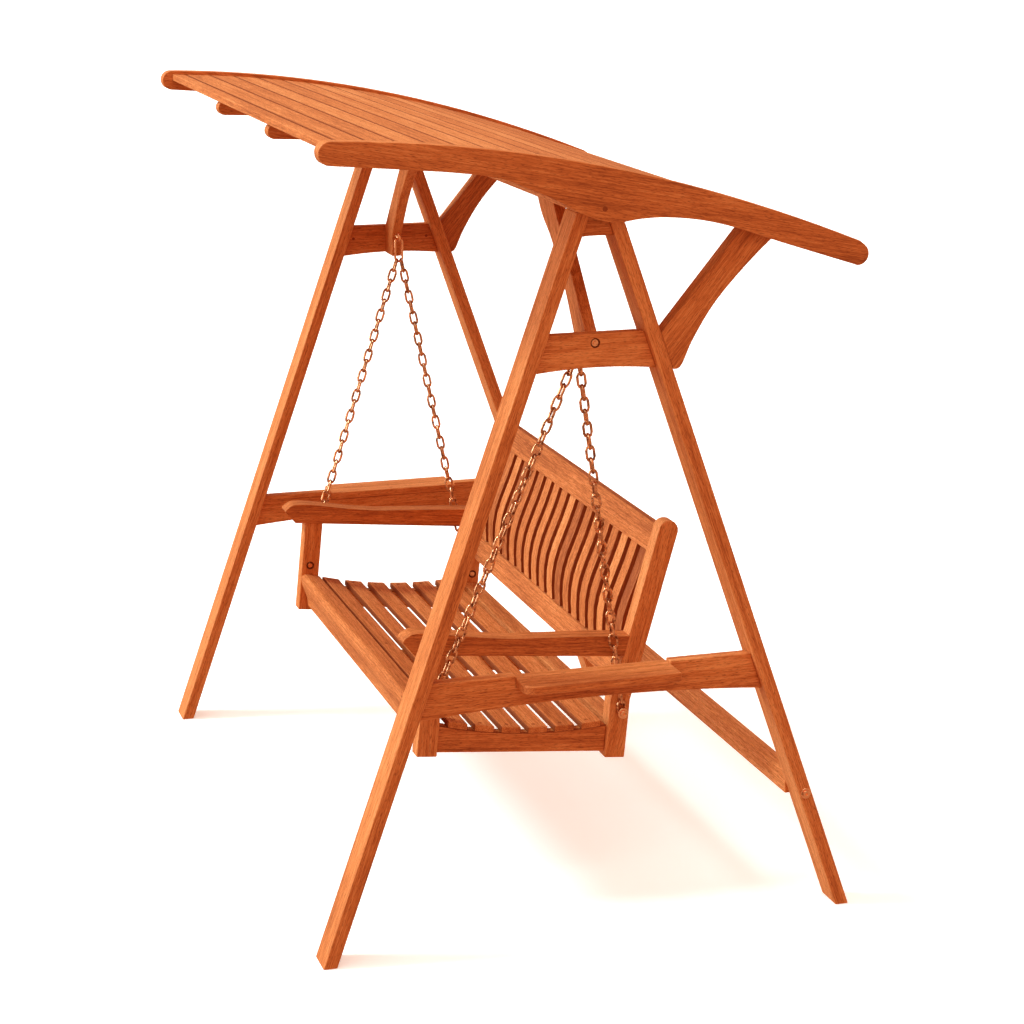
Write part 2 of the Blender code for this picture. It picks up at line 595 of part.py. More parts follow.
def seat_sides(hang):
    arm_rear = ARM_FOOT + ARM_HEIGHT
    for side, word in SIDE_NAMES:
        post_x = side * (SEAT_OUTER - POST_WIDTH / 2)
        front = board("front_post_" + word, [
            (FRONT_POST_FRONT, FRONT_POST_FOOT), (FRONT_POST_REAR, FRONT_POST_FOOT),
            (FRONT_POST_REAR, ARM_FOOT - FIT), (FRONT_POST_FRONT, ARM_FOOT - FIT)], post_x, POST_WIDTH, hang)

        shoulder = REAR_POST_TOP - REAR_POST_DEPTH / 2
        crown_y = back_line(shoulder) + REAR_POST_DEPTH / 2
        radius = REAR_POST_DEPTH / 2
        crown = [(crown_y + radius * math.cos(t), shoulder + radius * math.sin(t))
                 for t in [math.pi * i / 10 for i in range(11)]]
        post_rear = REAR_POST_FRONT + REAR_POST_DEPTH
        rear_outline = [(REAR_POST_FRONT, REAR_POST_FOOT), (post_rear, REAR_POST_FOOT),
                        (post_rear, REAR_POST_KINK)] + crown + [(REAR_POST_FRONT, REAR_POST_KINK)]
        rear = board("rear_post_" + word, rear_outline, post_x, POST_WIDTH, hang)

        for post, corner, y, z in ((front, "front", FRONT_BOLT_Y, FRONT_BOLT_Z),
                                   (rear, "rear", REAR_BOLT_Y, REAR_BOLT_Z)):
            label = corner + "_bolt_" + word
            cut(post, drill(label + "_hole", SEAT_BOLT_RADIUS + FIT, side * (SEAT_INNER - RUN_OUT),
                            side * (SEAT_OUTER + RUN_OUT), y, z, hang),
                drill(label + "_counterbore", COUNTERBORE_RADIUS, side * (SEAT_INNER - RUN_OUT),
                      side * (SEAT_INNER + COUNTERBORE_DEPTH), y, z, hang))
            nut, washer = SEAT_INNER + NUT_SETBACK, SEAT_OUTER + SEAT_BOLT_SPACE
            head = washer + WASHER_THICKNESS
            turned("chain_" + label, [
                (side * nut, SEAT_BOLT_NUT), (side * (SEAT_INNER + COUNTERBORE_DEPTH - FIT), SEAT_BOLT_NUT),
                (side * (SEAT_INNER + COUNTERBORE_DEPTH - FIT), SEAT_BOLT_RADIUS),
                (side * washer, SEAT_BOLT_RADIUS), (side * washer, SEAT_BOLT_WASHER),
                (side * head, SEAT_BOLT_WASHER), (side * head, SEAT_BOLT_HEAD),
                (side * (head + SEAT_BOLT_HEAD_HEIGHT), SEAT_BOLT_HEAD - HEAD_TAPER)], y, z, 0.0, hang)

        rail_front, rail_rear = FRONT_POST_REAR + FIT, REAR_POST_FRONT - FIT
        dish = long_arc(rail_rear, rail_front, 16, lambda y: rail_surface(y) - FIT)
        rail_x = side * (SEAT_OUTER - SIDE_RAIL_RECESS - SIDE_RAIL_THICKNESS / 2)
        board("side_rail_" + word, [(rail_front, SIDE_RAIL_FOOT), (rail_rear, SIDE_RAIL_FOOT)] + dish, rail_x,
              SIDE_RAIL_THICKNESS, hang)

        rear_end = back_line(arm_rear) - FIT
        length = rear_end - ARM_NOSE
        top = [(ARM_NOSE + length * share, arm_rear + rise) for share, rise in ARM_WAVE]
        nose = [(ARM_NOSE + behind, ARM_FOOT + up) for behind, up in ARM_NOSE_CURVE]
        arm = spline([(rear_end, arm_rear)] + top + nose[:-1], 4)
        arm += [nose[-1], (back_line(ARM_FOOT) - FIT, ARM_FOOT)]
        board("armrest_" + word, arm, side * (SEAT_OUTER + ARM_OVERHANG - ARM_WIDTH / 2), ARM_WIDTH, hang)


def seat_bottom(hang):
    reach = 2 * (SEAT_INNER - FIT)
    rear = SEAT_SLAT_FRONT - SEAT_SLAT_GAP
    foot = SIDE_RAIL_FOOT + RAIL_FOOT_RISE
    lip = SEAT_HEIGHT + FRONT_RAIL_LIP
    nose = [(FRONT_POST_FRONT + behind, SEAT_HEIGHT + rise) for behind, rise in FRONT_RAIL_NOSE]
    front_rail = spline([(rear - FRONT_RAIL_CREST[0], lip + FRONT_RAIL_CREST[1])] + nose, 4)
    nose_foot = nose[-1][1]
    board("front_rail", [(rear, lip)] + front_rail + [(rear, nose_foot)], 0, reach, hang)

    setback = REAR_POST_FRONT
    rail_back = setback + REAR_RAIL_THICKNESS
    rear_rail = [(setback, foot), (rail_back, foot), (rail_back, REAR_RAIL_TOP), (setback, REAR_RAIL_TOP)]
    board("rear_rail", rear_rail, 0, reach, hang)

    bearer_front = rear + FIT
    bearer_rear = setback - FIT
    dish = long_arc(bearer_rear, bearer_front, 16, lambda y: rail_surface(y) - FIT)
    board("seat_bearer", [(bearer_front, foot), (bearer_rear, foot)] + dish, 0, BEARER_WIDTH, hang)

    length = 2 * (SEAT_OUTER - SEAT_SLAT_INSET)
    for number in range(SEAT_SLAT_COUNT):
        start = SEAT_SLAT_FRONT + number * SEAT_SLAT_PITCH
        under = long_arc(start, start + SEAT_SLAT_WIDTH, 4, rail_surface)
        upper = [(y, z + SEAT_SLAT_THICKNESS) for y, z in under[::-1]]
        board("seat_slat_%d" % (number + 1), under + upper, 0, length, hang)


def rail_outline(foot, height, setback, groove_at_top):
    # A back rail leaning with the posts, grooved along one edge for the slats.
    lean = Vector((BACK_LEAN, 1)).normalized()
    back = Vector((lean.y, -lean.x))
    start = Vector((back_line(foot) + setback, foot))
    wall = (BACK_RAIL_THICKNESS - BACK_SLAT_THICKNESS) / 2 - FIT
    rise = height / lean.y

    def at(along, deep):
        return tuple(start + lean * along + back * deep)
    if groove_at_top:
        edge, sunk = rise, rise - TONGUE_DEPTH - FIT
    else:
        edge, sunk = 0.0, TONGUE_DEPTH + FIT
    groove = [at(edge, wall), at(sunk, wall), at(sunk, BACK_RAIL_THICKNESS - wall),
              at(edge, BACK_RAIL_THICKNESS - wall)]
    corners = [at(0, 0), at(0, BACK_RAIL_THICKNESS), at(rise, BACK_RAIL_THICKNESS), at(rise, 0)]
    if groove_at_top:
        return corners[:3] + groove[::-1] + corners[3:]
    return corners[:1] + groove + corners[1:]


def backrest(hang):
    reach = 2 * (SEAT_INNER - FIT)
    top_rail = rail_outline(TOP_RAIL_FOOT, TOP_RAIL_HEIGHT, TOP_RAIL_SETBACK, False)
    low_rail = rail_outline(LOW_RAIL_FOOT, LOW_RAIL_HEIGHT, LOW_RAIL_SETBACK, True)
    board("back_top_rail", top_rail, 0, reach, hang)
    board("back_lower_rail", low_rail, 0, reach, hang)

    lean = Vector((BACK_LEAN, 1)).normalized()
    back = Vector((lean.y, -lean.x))
    wall = (BACK_RAIL_THICKNESS - BACK_SLAT_THICKNESS) / 2
    low_edge = Vector((back_line(LOW_RAIL_FOOT) + LOW_RAIL_SETBACK, LOW_RAIL_FOOT))
    low_edge += lean * (LOW_RAIL_HEIGHT / lean.y) + back * wall
    top_edge = Vector((back_line(TOP_RAIL_FOOT) + TOP_RAIL_SETBACK, TOP_RAIL_FOOT)) + back * wall
    span = top_edge - low_edge
    steps = 8
    front = [low_edge - lean * TONGUE_DEPTH, low_edge]
    for i in range(1, steps):
        t = i / steps
        bulge = BACK_SLAT_BULGE * math.sin(math.pi * t) * (1 + BACK_SLAT_SKEW * math.cos(math.pi * t))
        front.append(low_edge + span * t - back * bulge)
    front += [top_edge, top_edge + lean * TONGUE_DEPTH]

    inside = SEAT_INNER - FIT
    gap = (2 * inside - BACK_SLAT_COUNT * BACK_SLAT_WIDTH) / (BACK_SLAT_COUNT + 1)
    columns = [-inside]
    for _ in range(BACK_SLAT_COUNT):
        columns += [columns[-1] + gap, columns[-1] + gap + BACK_SLAT_WIDTH]
    columns = columns[1:]
    bm = bmesh.new()
    grid = [[bm.verts.new((x, p.x, p.y)) for p in front] for x in columns]
    faces = []
    for i in range(len(columns) - 1):
        for j in range(len(front) - 1):
            tongue = j in (0, len(front) - 2)
            if tongue or i % 2 == 0:
                faces.append(bm.faces.new((grid[i][j], grid[i + 1][j], grid[i + 1][j + 1], grid[i][j + 1])))
    pushed = bmesh.ops.extrude_face_region(bm, geom=faces)["geom"]
    step = (0, BACK_SLAT_THICKNESS * back.x, BACK_SLAT_THICKNESS * back.y)
    bmesh.ops.translate(bm, verts=[v for v in pushed if isinstance(v, bmesh.types.BMVert)], vec=step)
    place("backrest_slats", bm, wood("backrest_slats"), 0.0, hang)


# The hardware that the seat hangs on --------------------------------------------------------------
def eye_bolt(name, side):
    # A bolt through crossbar and brace: a nut sunk in the crossbar's outer face, a ring inside.
    start = EYE_X + EYE_RADIUS
    shank = BOLT_RADIUS - BOLT_SLACK
    seat = BAR_OUTER - EYE_RECESS_DEPTH + FIT
    bolt = turned(name, [
        (side * start, shank), (side * seat, shank), (side * seat, EYE_NUT_RADIUS),
        (side * (seat + EYE_NUT_HEIGHT), EYE_NUT_RADIUS), (side * (seat + EYE_NUT_HEIGHT), shank),
        (side * (BAR_OUTER - 0.0005), shank - 0.0005)], 0, EYE_Z, 0.0)
    bm = bmesh.new()
    circle = [math.tau * i / 20 for i in range(20)]
    line = [(side * EYE_X + EYE_RADIUS * math.cos(t), 0, EYE_Z + EYE_RADIUS * math.sin(t)) for t in circle]
    loop_of_wire(bm, line, EYE_WIRE, Vector((0, 1, 0)))
    ring = place(name + "_ring", bm, metal(name + "_ring"))
    ring.hide_render = True
    ring.display_type = "WIRE"
    joined = bolt.modifiers.new("ring", "BOOLEAN")
    joined.operation = "UNION"
    joined.object = ring


def shackle(name, side, hang):
    # An oval link that hangs on the eye and carries both chains.
    top = PIVOT_Z + EYE_WIRE + SHACKLE_WIRE + 2 * FIT - SHACKLE_RADIUS
    foot = SHACKLE_FOOT + SHACKLE_RADIUS
    quarter = [math.pi * i / 8 for i in range(9)]
    x, bend = side * EYE_X, SHACKLE_RADIUS
    line = [(x, bend * math.cos(t), top + bend * math.sin(t)) for t in quarter]
    line += [(x, -bend * math.cos(t), foot - bend * math.sin(t)) for t in quarter]
    bm = bmesh.new()
    loop_of_wire(bm, line, SHACKLE_WIRE, Vector((1, 0, 0)))
    place(name, bm, metal(name), 0.0, hang, smooth=True)


def chain(name, start, end, hang):
    # The outer shape of a taut chain: each link is wide across the link before it.
    start, end = Vector(start), Vector(end)
    along = (end - start).normalized()
    wide = Vector((0, 1, 0)).cross(along).normalized()
    deep = along.cross(wide)
    sides = 8
    pitch = (end - start).length / LINK_COUNT
    neck, flat, broad = LINK_WIRE * 0.7, LINK_WIRE * 0.6, LINK_WIDTH / 2
    stations = [(0.0, neck, neck)]
    for number in range(LINK_COUNT):
        size = (broad, flat) if number % 2 == 0 else (flat, broad)
        stations.append(((number + 0.5) * pitch, *size))
        stations.append(((number + 1) * pitch, neck, neck))
    bm = bmesh.new()
    rings = []
    for distance, across, through in stations:
        middle = start + along * distance
        angles = [math.tau * (k + 0.5) / sides for k in range(sides)]
        rings.append([bm.verts.new(middle + wide * across * math.cos(t) + deep * through * math.sin(t))
                      for t in angles])
    for low, high in zip(rings, rings[1:]):
        for k in range(sides):
            n = (k + 1) % sides
            bm.faces.new((low[k], low[n], high[n], high[k]))
    bm.faces.new(rings[0])
    bm.faces.new(rings[-1])
    place(name, bm, metal(name), 0.0, hang)


def hanging(hang):
    turn = Euler((-SEAT_TILT, 0, 0)).to_matrix()
    for side, word in SIDE_NAMES:
        eye_bolt("eye_bolt_" + word, side)
        shackle("shackle_" + word, side, hang)
        for corner, way, y, z in (("front", -1, FRONT_BOLT_Y, FRONT_BOLT_Z),
                                  ("rear", 1, REAR_BOLT_Y, REAR_BOLT_Z)):
            bolt = turn @ Vector((0, y, z - PIVOT_Z)) + Vector((0, 0, PIVOT_Z))
            bolt.x = side * (SEAT_OUTER + CHAIN_STANDOFF)
            under = SHACKLE_FOOT - SHACKLE_WIRE - FIT - CHAIN_END_ROOM
            top = Vector((side * EYE_X, way * CHAIN_SPREAD, under))
            clear = (bolt - top).normalized() * (SEAT_BOLT_RADIUS + FIT + CHAIN_END_ROOM / 2)
            chain("chain_%s_%s" % (corner, word), top, bolt - clear, hang)


def build():
    for side, word in SIDE_NAMES:
        a_frame(side, word)
    rear_stretcher()
    ridge_beam()
    canopy()
    canopy_deck()
    seat_hang = pivot("seat_pivot", SEAT_TILT)
    seat_sides(seat_hang)
    seat_bottom(seat_hang)
    backrest(seat_hang)
    hanging(pivot("chain_pivot", 0.0))
    bpy.context.view_layer.update()


build()
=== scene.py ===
import json
import math
import random

import bmesh
import bpy
from mathutils import Matrix, Vector


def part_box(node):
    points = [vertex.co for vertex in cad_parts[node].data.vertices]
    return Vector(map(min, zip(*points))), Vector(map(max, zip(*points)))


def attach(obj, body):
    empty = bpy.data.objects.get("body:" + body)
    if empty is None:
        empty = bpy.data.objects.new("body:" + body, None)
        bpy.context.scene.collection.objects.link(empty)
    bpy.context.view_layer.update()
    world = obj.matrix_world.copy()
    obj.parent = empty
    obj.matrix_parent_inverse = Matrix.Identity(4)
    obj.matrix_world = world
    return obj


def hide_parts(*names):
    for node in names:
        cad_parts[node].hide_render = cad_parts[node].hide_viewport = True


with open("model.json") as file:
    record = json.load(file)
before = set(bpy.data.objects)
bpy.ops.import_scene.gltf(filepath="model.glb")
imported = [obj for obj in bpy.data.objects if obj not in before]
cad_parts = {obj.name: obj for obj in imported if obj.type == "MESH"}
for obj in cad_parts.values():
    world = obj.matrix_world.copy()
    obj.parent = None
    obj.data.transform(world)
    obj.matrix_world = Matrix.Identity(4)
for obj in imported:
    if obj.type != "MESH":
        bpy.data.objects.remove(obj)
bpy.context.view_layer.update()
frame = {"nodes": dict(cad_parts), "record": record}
sides = ((1, "right"), (-1, "left"))
print("frame loaded:", len(frame["nodes"]), "nodes")


# Node helpers: a node with its settings, and its inputs as numbers or as links
def addNode(tree, kind, settings=None, **inputs):
    node = tree.nodes.new(kind)
    for name, value in (settings or {}).items():
        setattr(node, name, value)
    for name, value in inputs.items():
        socket = node.inputs[int(name[1:])] if name[0] == "_" else node.inputs[name.replace("_", " ")]
        if isinstance(value, bpy.types.NodeSocket):
            tree.links.new(value, socket)
        else:
            socket.default_value = value
    return node


def mathNode(tree, operation, first, second=0.0):
    return addNode(tree, "ShaderNodeMath", {"operation": operation}, _0=first, _1=second).outputs[0]


def scaled(tree, place, size):
    return addNode(tree, "ShaderNodeVectorMath", {"operation": "MULTIPLY"}, _0=place, _1=size).outputs[0]


def rangeNode(tree, value, low, high, toLow=0.0, toHigh=1.0):
    return addNode(tree, "ShaderNodeMapRange", {"clamp": True}, Value=value, From_Min=low, From_Max=high,
                   To_Min=toLow, To_Max=toHigh).outputs[0]


def mixColour(tree, factor, first, second):
    node = tree.nodes.new("ShaderNodeMix")
    node.data_type = "RGBA"
    for socket, value in ((node.inputs[0], factor), (node.inputs[6], first), (node.inputs[7], second)):
        if isinstance(value, bpy.types.NodeSocket):
            tree.links.new(value, socket)
        else:
            socket.default_value = value
    return node.outputs[2]


teakLook = {
    "lateWood": (0.300, 0.058, 0.0085, 1),   # the dark line of each year
    "heart": (0.640, 0.175, 0.0400, 1),
    "pale": (0.880, 0.330, 0.1050, 1),
    "stops": (0.10, 0.50, 0.86),             # where those three lie on the scale of tone
    "pore": (0.200, 0.036, 0.006, 1),
    "poreShare": 0.68,
    "worn": (0.860, 0.320, 0.100, 1),        # where hands and cloths rub the edges
    "wornShare": (0.02, 0.22),
    "ringScale": 38.0,                       # about 8 mm from one dark line to the next
    "ringWander": 0.030,
    "ringShare": 0.15,
    "roughness": (0.50, 0.66),
    "poreRoughness": 0.15,
    "shine": 0.28,
    "relief": 0.22,
    "reliefDepth": 0.0006,
    "slatShift": (5.3, 1.7, 1.3),            # each slat of a set comes from its own part of the log
    "shade": 0.06,                           # how far one board may differ from the next
}

# The grain's layers: fineness along and across it, how rough, the part that is used, its share of the tone
grainLayers = {
    "streaks": {"along": 2.2, "across": 75.0, "detail": 5.0, "rough": 0.62, "used": (0.30, 0.72),
                "share": 0.32},
    "fine": {"along": 20.0, "across": 380.0, "detail": 2.0, "rough": 0.55, "used": (0.30, 0.70),
             "share": 0.36},
    "cloud": {"along": 1.6, "across": 14.0, "detail": 3.0, "rough": 0.55, "used": (0.32, 0.68),
              "share": 0.20},
    "pores": {"along": 75.0, "across": 900.0, "detail": 1.0, "rough": 0.5, "used": (0.56, 0.70),
              "share": 0.0},
}


def grainNoise(tree, place, facts):
    size = (facts["along"], facts["across"], facts["across"])
    return addNode(tree, "ShaderNodeTexNoise", None, Vector=scaled(tree, place, size), Scale=1.0,
                   Detail=facts["detail"], Roughness=facts["rough"]).outputs["Fac"]


def makeTeakGroup(look):
    # Sawn teak with its grain along X: year rings, long streaks, short pores and slow changes of tone.
    tree = bpy.data.node_groups.new("teakWood", "ShaderNodeTree")
    for name, kind in (("Place", "Vector"), ("Tone", "Float"), ("Wear", "Float")):
        tree.interface.new_socket(name, in_out="INPUT", socket_type="NodeSocket" + kind)
    for name, kind in (("Color", "Color"), ("Roughness", "Float"), ("Height", "Float")):
        tree.interface.new_socket(name, in_out="OUTPUT", socket_type="NodeSocket" + kind)
    entry = tree.nodes.new("NodeGroupInput")
    place, tone, wear = (entry.outputs[name] for name in ("Place", "Tone", "Wear"))

    # Year rings round the pith, which wander a little along the board
    wander = addNode(tree, "ShaderNodeTexNoise", None, Vector=scaled(tree, place, (1.1, 7.0, 7.0)), Scale=1.0,
                     Detail=3.0, Roughness=0.5).outputs["Color"]
    shift = addNode(tree, "ShaderNodeVectorMath", {"operation": "SUBTRACT"}, _0=wander,
                    _1=(0.5, 0.5, 0.5)).outputs[0]
    shift = scaled(tree, shift, (0.0, look["ringWander"], look["ringWander"]))
    ringPlace = addNode(tree, "ShaderNodeVectorMath", {"operation": "ADD"}, _0=place, _1=shift).outputs[0]
    ringKind = {"wave_type": "RINGS", "rings_direction": "X", "wave_profile": "SAW"}
    rings = addNode(tree, "ShaderNodeTexWave", ringKind, Vector=ringPlace, Scale=look["ringScale"],
                    Distortion=0.0, Detail=0.0).outputs["Fac"]
    value = mathNode(tree, "MULTIPLY", rangeNode(tree, rings, 0.0, 1.0, 1.0, 0.25), look["ringShare"])

    noise, tones = {}, {}
    for name, facts in grainLayers.items():
        noise[name] = grainNoise(tree, place, facts)
        tones[name] = rangeNode(tree, noise[name], *facts["used"])
        if facts["share"]:
            value = mathNode(tree, "ADD", value, mathNode(tree, "MULTIPLY", tones[name], facts["share"]))
    value = mathNode(tree, "ADD", value, tone)

    ramp = tree.nodes.new("ShaderNodeValToRGB")
    first, middle, last = look["stops"]
    stops = ramp.color_ramp.elements
    stops[0].position, stops[0].color = first, look["lateWood"]
    stops[1].position, stops[1].color = last, look["pale"]
    stops.new(middle).color = look["heart"]
    tree.links.new(value, ramp.inputs[0])
    poreTone = tones["pores"]
    colour = mixColour(tree, mathNode(tree, "MULTIPLY", poreTone, look["poreShare"]), ramp.outputs[0],
                       look["pore"])
    rub = mathNode(tree, "MULTIPLY", wear, rangeNode(tree, noise["streaks"], 0.35, 0.65, *look["wornShare"]))
    colour = mixColour(tree, rub, colour, look["worn"])

    smooth, coarse = look["roughness"]
    rough = rangeNode(tree, value, 0.2, 0.8, coarse, smooth)
    rough = mathNode(tree, "ADD", rough, mathNode(tree, "MULTIPLY", poreTone, look["poreRoughness"]))
    height = mathNode(tree, "ADD", mathNode(tree, "MULTIPLY", tones["streaks"], 0.5),
                      mathNode(tree, "MULTIPLY", tones["fine"], 0.5))
    height = mathNode(tree, "SUBTRACT", height, mathNode(tree, "MULTIPLY", poreTone, 0.8))
    leave = tree.nodes.new("NodeGroupOutput")
    tree.links.new(colour, leave.inputs["Color"])
    tree.links.new(rough, leave.inputs["Roughness"])
    tree.links.new(height, leave.inputs["Height"])
    return tree


teakGroup = makeTeakGroup(teakLook)


def teak(name, grain, tone=None):
    # One board's teak: its own slice of the log, turned so that the grain runs the board's way.
    dice = random.Random(name)
    material = bpy.data.materials.new("teak_" + name)
    material.use_nodes = True
    tree = material.node_tree
    shader = tree.nodes["Principled BSDF"]
    where = tree.nodes.new("ShaderNodeTexCoord")
    turn = Vector(grain).normalized().rotation_difference(Vector((1, 0, 0))).to_euler()
    pith = (dice.uniform(-4, 4), dice.choice((-1, 1)) * dice.uniform(0.05, 0.13), dice.uniform(0.03, 0.10))
    mapping = addNode(tree, "ShaderNodeMapping", {"vector_type": "POINT"}, Vector=where.outputs["Object"],
                      Rotation=turn, Location=pith).outputs[0]
    # This attribute holds each slat's own tone, plus the painted shade that darkens gaps, joints, holes and
    # rail tops.
    slatToneAndShade = addNode(tree, "ShaderNodeAttribute", {"attribute_name": "slatToneAndShade"}).outputs["Fac"]
    mapping = addNode(tree, "ShaderNodeVectorMath", {"operation": "ADD"}, _0=mapping,
                      _1=scaled(tree, slatToneAndShade, teakLook["slatShift"])).outputs[0]
    worn = addNode(tree, "ShaderNodeAttribute", {"attribute_name": "wear"})
    shade = dice.uniform(-teakLook["shade"], teakLook["shade"]) if tone is None else tone
    shade = mathNode(tree, "ADD", slatToneAndShade, shade)
    wood = addNode(tree, "ShaderNodeGroup", {"node_tree": teakGroup}, Place=mapping, Tone=shade,
                   Wear=worn.outputs["Fac"])
    bump = addNode(tree, "ShaderNodeBump", None, Strength=teakLook["relief"],
                   Distance=teakLook["reliefDepth"], Height=wood.outputs["Height"])
    tree.links.new(wood.outputs["Color"], shader.inputs["Base Color"])
    tree.links.new(wood.outputs["Roughness"], shader.inputs["Roughness"])
    tree.links.new(bump.outputs[0], shader.inputs["Normal"])
    shader.inputs["Specular IOR Level"].default_value = teakLook["shine"]
    return material


brassLook = {
    "bright": (0.95, 0.47, 0.235, 1),
    "tarnish": (0.190, 0.050, 0.018, 1),
    "roughness": (0.18, 0.38),
    "patchScale": 95.0,
    "patchEdge": (0.58, 0.80),
    "speckScale": 620.0,
    "relief": 0.15,
    "reliefDepth": 0.0003,
    "chainTarnish": 0.15,
    "boltTarnish": 0.02,
}


def makeBrass(name, look, tarnished):
    # Yellow-passivated hardware, dulled in patches.
    material = bpy.data.materials.new(name)
    material.use_nodes = True
    tree = material.node_tree
    shader = tree.nodes["Principled BSDF"]
    where = tree.nodes.new("ShaderNodeTexCoord").outputs["Object"]
    patches = addNode(tree, "ShaderNodeTexNoise", None, Vector=where, Scale=look["patchScale"], Detail=4.0,
                      Roughness=0.6)
    specks = addNode(tree, "ShaderNodeTexNoise", None, Vector=where, Scale=look["speckScale"], Detail=2.0)
    low, high = look["patchEdge"]
    dull = rangeNode(tree, patches.outputs["Fac"], low - tarnished, high - tarnished)
    colour = mixColour(tree, dull, look["bright"], look["tarnish"])
    rough = rangeNode(tree, patches.outputs["Fac"], 0.3, 0.7, *look["roughness"])
    bump = addNode(tree, "ShaderNodeBump", None, Strength=look["relief"], Distance=look["reliefDepth"],
                   Height=specks.outputs["Fac"])
    tree.links.new(colour, shader.inputs["Base Color"])
    tree.links.new(rough, shader.inputs["Roughness"])
    tree.links.new(bump.outputs[0], shader.inputs["Normal"])
    shader.inputs["Metallic"].default_value = 1.0
    return material


chainMetal = makeBrass("brassChain", brassLook, brassLook["chainTarnish"])
boltMetal = makeBrass("brassBolt", brassLook, brassLook["boltTarnish"])
print("materials ready")


# Making a piece out of a bmesh, and hanging it on its body
def finishPiece(name, bm, material, body, replaced=(), sharp=40, weighted=True):
    mesh = bpy.data.meshes.new(name)
    bm.to_mesh(mesh)
    bm.free()
    mesh.materials.append(material)
    mesh.shade_smooth()
    mesh.set_sharp_from_angle(angle=math.radians(sharp))
    piece = bpy.data.objects.new(name, mesh)
    bpy.context.scene.collection.objects.link(piece)
    if weighted:
        normals = piece.modifiers.new("flatFaces", "WEIGHTED_NORMAL")
        normals.keep_sharp = True
    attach(piece, body)
    if replaced:
        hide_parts(*replaced)


def roundEdges(bm, width, segments=3, least=0.006, fold=24):
    # Eases the outer corners of a board. Edges of small holes stay crisp, and inner corners too.
    wearLayer = bm.faces.layers.float.get("wear") or bm.faces.layers.float.new("wear")
    chosen = [e for e in bm.edges if len(e.link_faces) == 2 and e.is_convex and e.calc_length() > least
              and e.calc_face_angle() > math.radians(fold)]
    made = bmesh.ops.bevel(bm, geom=chosen, offset=width, offset_type="OFFSET", affect="EDGES",
                           segments=segments, profile=0.5, material=-1, clamp_overlap=True)
    for face in made["faces"]:
        face[wearLayer] = 1.0


def toneSlats(bm, name, slatAt, spread):
    # Gives every slat of a set its own tone.
    layer = bm.faces.layers.float.get("slatToneAndShade") or bm.faces.layers.float.new("slatToneAndShade")
    dice = random.Random(name)
    tones = {}
    for number in sorted({slatAt(face.calc_center_median()) for face in bm.faces}):
        tones[number] = dice.uniform(*spread)
    for face in bm.faces:
        face[layer] = tones[slatAt(face.calc_center_median())]


def copyOf(node):
    # The node's own shape as clean faces: doubles merged and flat triangles joined.
    bm = bmesh.new()
    bm.from_mesh(frame["nodes"][node].data)
    bmesh.ops.remove_doubles(bm, verts=bm.verts, dist=1e-5)
    bmesh.ops.dissolve_limit(bm, angle_limit=math.radians(0.4), verts=bm.verts, edges=bm.edges)
    return bm


# Boards that keep their outline and get eased edges: how round, which way the grain runs, and the tone
boards = {
    "front_leg": {"round": 0.0030, "grain": (0, 0.35, 1)},
    "rear_leg": {"round": 0.0030, "grain": (0, -0.35, 1), "tone": 0.09},
    "upper_crossbar": {"round": 0.0022, "grain": (0, 1, 0), "tone": 0.05},
    "lower_crossbar": {"round": 0.0022, "grain": (0, 1, 0), "tone": 0.05},
    "top_spreader": {"round": 0.0020, "grain": (0, 1, 0)},
    "side_shelf": {"round": 0.0035, "grain": (0, 1, 0)},
    "knee_brace": {"round": 0.0025, "grain": (-0.65, 0, 1)},
    "rear_strut": {"round": 0.0025, "grain": (0, 0.85, 1)},
    "canopy_beam": {"round": 0.0040, "grain": (0, 1, -0.19)},
    "canopy_rib": {"round": 0.0020, "grain": (0, 1, -0.2)},
    "front_post": {"round": 0.0025, "grain": (0, 0.09, 1)},
    "rear_post": {"round": 0.0030, "grain": (0, 0.24, 1), "tone": 0.10},
    # The side rail's top value is painted shade under the slat ends.
    "side_rail": {"round": 0.0030, "grain": (0, 1, -0.09), "topPaintedShade": -0.70},
    "armrest": {"round": 0.0055, "grain": (0, 1, -0.09), "tone": -0.10},
}
crossBoards = {
    "rear_stretcher": {"round": 0.0030, "grain": (1, 0, 0)},
    "ridge_beam": {"round": 0.0025, "grain": (1, 0, 0)},
    "front_rail": {"round": 0.0020, "grain": (1, 0, 0), "tone": -0.07},
    "rear_rail": {"round": 0.0025, "grain": (1, 0, 0)},
    "seat_bearer": {"round": 0.0020, "grain": (0, 1, 0)},
    "back_top_rail": {"round": 0.0040, "grain": (1, 0, 0), "tone": -0.12},
    "back_lower_rail": {"round": 0.0030, "grain": (1, 0, 0), "tone": -0.12},
}
bodyOf = {node: body for body, nodes in frame["record"]["behaviour"]["bodies"].items() for node in nodes}


# Which bolt sits in a board's sunk hole, and the painted shade that darkens that hole
boltIn = {"front_post": "chain_front_bolt", "rear_post": "chain_rear_bolt", "upper_crossbar": "eye_bolt"}
sunkHoleShade = {"reach": 0.0125, "largest": 0.0006, "tone": -0.75}


def paintShade(bm, chosen, tone):
    # Paints shade onto the chosen faces as a dark tone, and takes their wear away.
    layer = bm.faces.layers.float.get("slatToneAndShade") or bm.faces.layers.float.new("slatToneAndShade")
    wearLayer = bm.faces.layers.float["wear"]
    for face in bm.faces:
        if chosen(face, face[wearLayer] > 0.5):
            face[layer] = tone
            face[wearLayer] = 0.0


